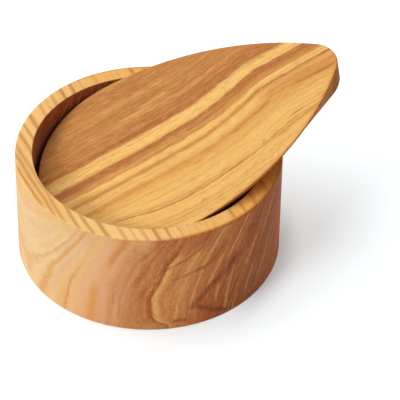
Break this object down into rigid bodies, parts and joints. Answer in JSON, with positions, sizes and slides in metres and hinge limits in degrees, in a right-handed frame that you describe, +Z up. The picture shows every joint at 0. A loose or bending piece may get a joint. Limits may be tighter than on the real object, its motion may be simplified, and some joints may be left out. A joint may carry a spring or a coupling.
{
  "type": "salt box with hinged lid",
  "caption": "Round turned wooden salt box whose flat egg-shaped lid pivots on pins across the rim: its round end dips inside and its beak reaches out over the rim.",
  "frame": {"origin": "middle of the cup's flat underside", "axes": "+Z up along the cup's axis; +X toward the lid's beak, square to the hinge; Y along the pivot pins"},
  "size_m": [0.1275, 0.1, 0.067],
  "materials": {
    "cup_wood": "oiled, satin",
    "lid_wood": "oiled, satin",
    "plug_wood": "oiled, satin",
    "pin_steel": "drawn, bright"
  },
  "bodies": {
    "box": {"cup": "cup_wood", "hole_plug_front": "plug_wood", "hole_plug_back": "plug_wood"},
    "lid_assembly": {"lid": "lid_wood", "pivot_pin_front": "pin_steel", "pivot_pin_back": "pin_steel"}
  },
  "joints": [
    {"name": "lid_tilt", "type": "hinge", "parent": "box", "child": "lid_assembly", "pos_m": [0, 0, 0.03988], "axis": [0, -1, 0], "range_deg": [0, 38]}
  ]
}
